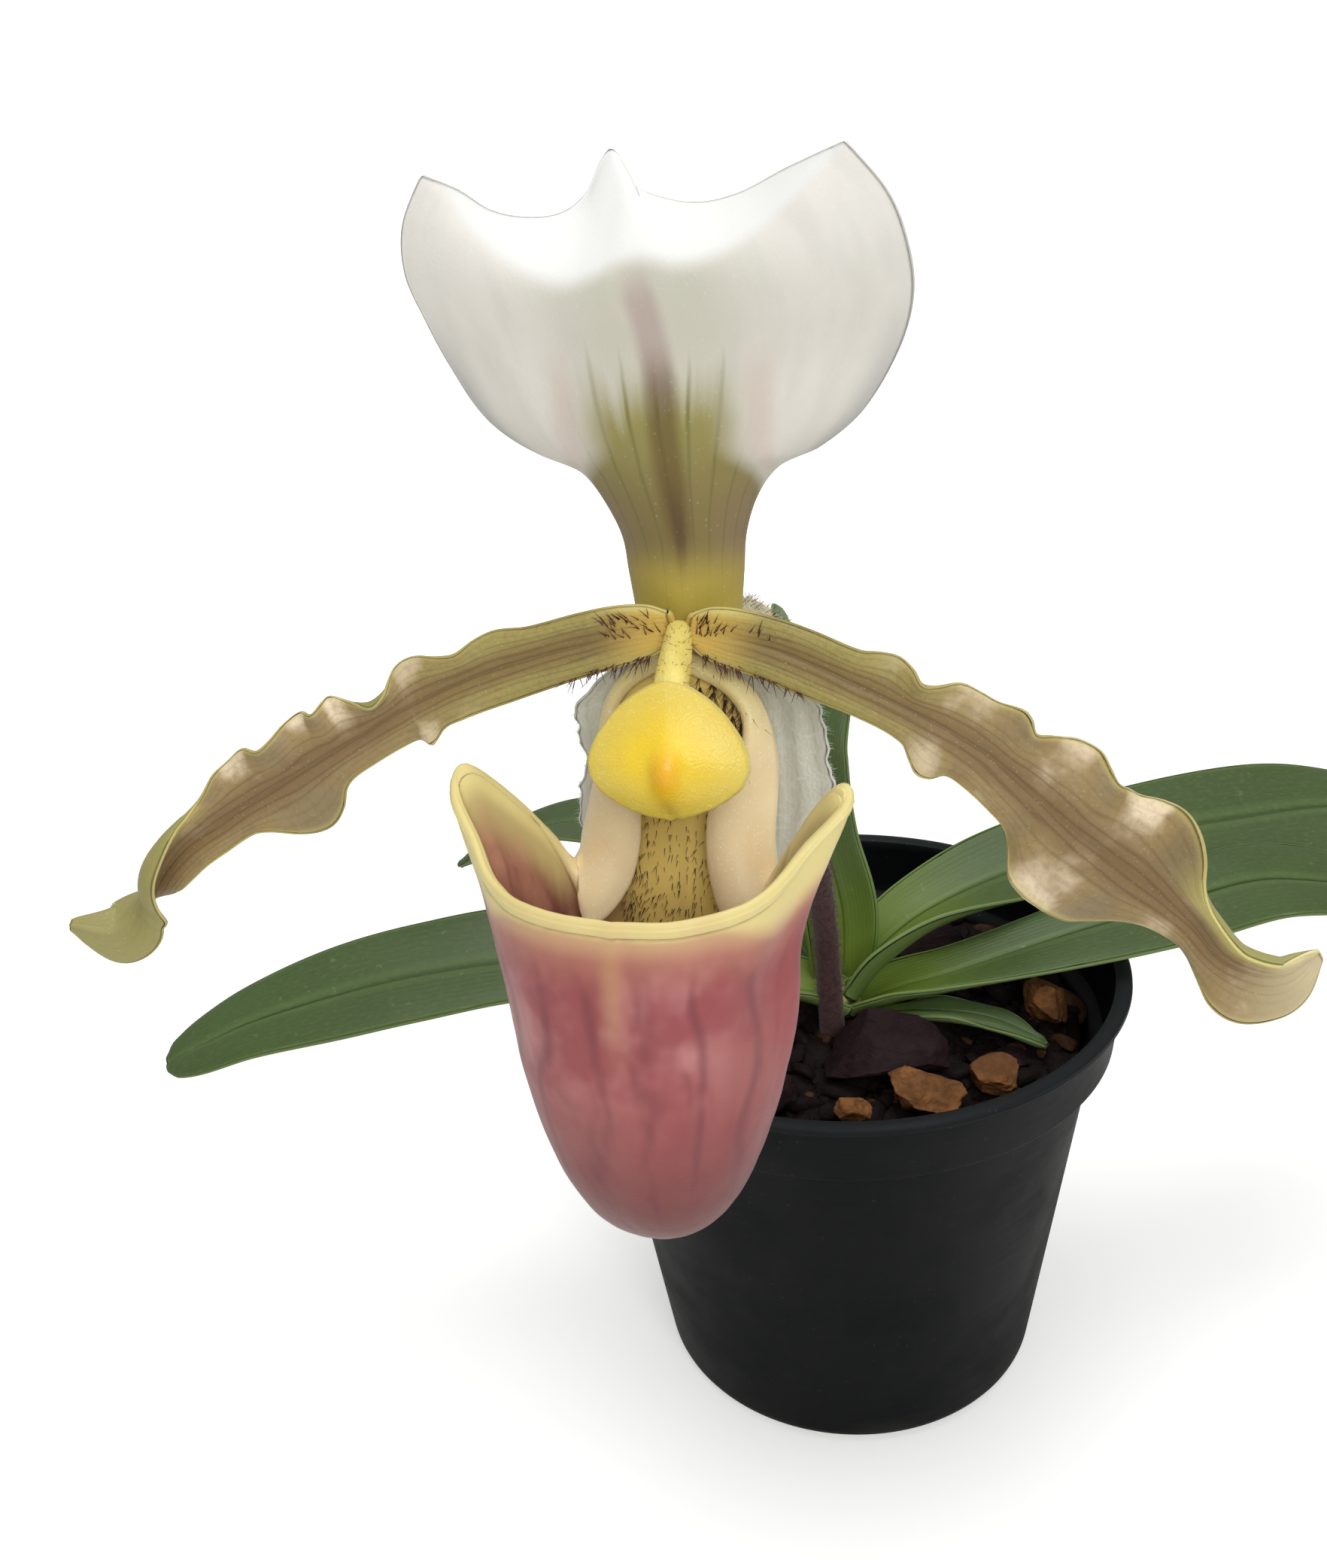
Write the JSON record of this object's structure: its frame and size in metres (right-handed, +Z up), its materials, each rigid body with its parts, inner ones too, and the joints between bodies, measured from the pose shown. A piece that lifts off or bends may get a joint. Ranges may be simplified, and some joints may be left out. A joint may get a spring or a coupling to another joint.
{
  "type": "potted slipper orchid",
  "caption": "Slipper orchid in bloom, with one nodding flower on an arching hairy stem and a fan of narrow leaves, growing in bark in a small black nursery pot.",
  "frame": {"origin": "centre of the pot's flat underside", "axes": "+Z up along the pot's axis; the flower hangs over the pot's edge towards -Y; the longest leaves run along -X and +X"},
  "size_m": [0.1755, 0.1214, 0.1521],
  "materials": {
    "pot_plastic": "black moulded plastic, satin",
    "bark_mix": "damp composted bark",
    "dark_bark": "rough bark",
    "tan_bark": "rough bark with cork grain",
    "leaf": "leathery leaf, satin",
    "young_leaf": "young leaf, satin",
    "stem_skin": "purple-brown hairy stem",
    "ovary_skin": "downy cream ovary",
    "bract_green": "thin green bract",
    "white_sepal": "white sepal, green and brown at its claw",
    "lower_sepal": "pale greenish sepal with faint veins",
    "petal_skin": "tan petal with brown veins and yellow margins",
    "lip_skin": "dusty rose slipper with darker veins, satin",
    "column_yellow": "granular yellow",
    "stigma_cream": "moist cream",
    "anther_tan": "waxy tan"
  },
  "bodies": {
    "root": {"nursery_pot": "pot_plastic", "potting_mix": "bark_mix", "bark_chip_01": "dark_bark", "bark_chip_02": "tan_bark", "bark_chip_03": "tan_bark", "bark_chip_04": "tan_bark", "bark_chip_05": "tan_bark", "bark_chip_06": "dark_bark", "bark_chip_07": "dark_bark", "bark_chip_08": "dark_bark", "bark_chip_09": "dark_bark", "bark_chip_10": "dark_bark", "bark_chip_11": "dark_bark", "bark_chip_12": "tan_bark", "bark_chip_13": "dark_bark", "bark_chip_14": "dark_bark", "bark_chip_15": "dark_bark", "bark_chip_16": "dark_bark", "rhizome": "young_leaf", "scape": "stem_skin", "leaf_left_long": "leaf", "leaf_left_back": "leaf", "leaf_upright": "young_leaf", "leaf_right_upper": "leaf", "leaf_right_lower": "leaf", "leaf_small": "leaf", "ovary": "ovary_skin", "bract": "bract_green", "synsepal": "lower_sepal", "petal_left": "petal_skin", "petal_right": "petal_skin", "dorsal_sepal": "white_sepal", "lip": "lip_skin", "staminode": "column_yellow", "column": "column_yellow", "stigma": "stigma_cream", "anther_left": "anther_tan", "anther_right": "anther_tan"}
  },
  "joints": []
}
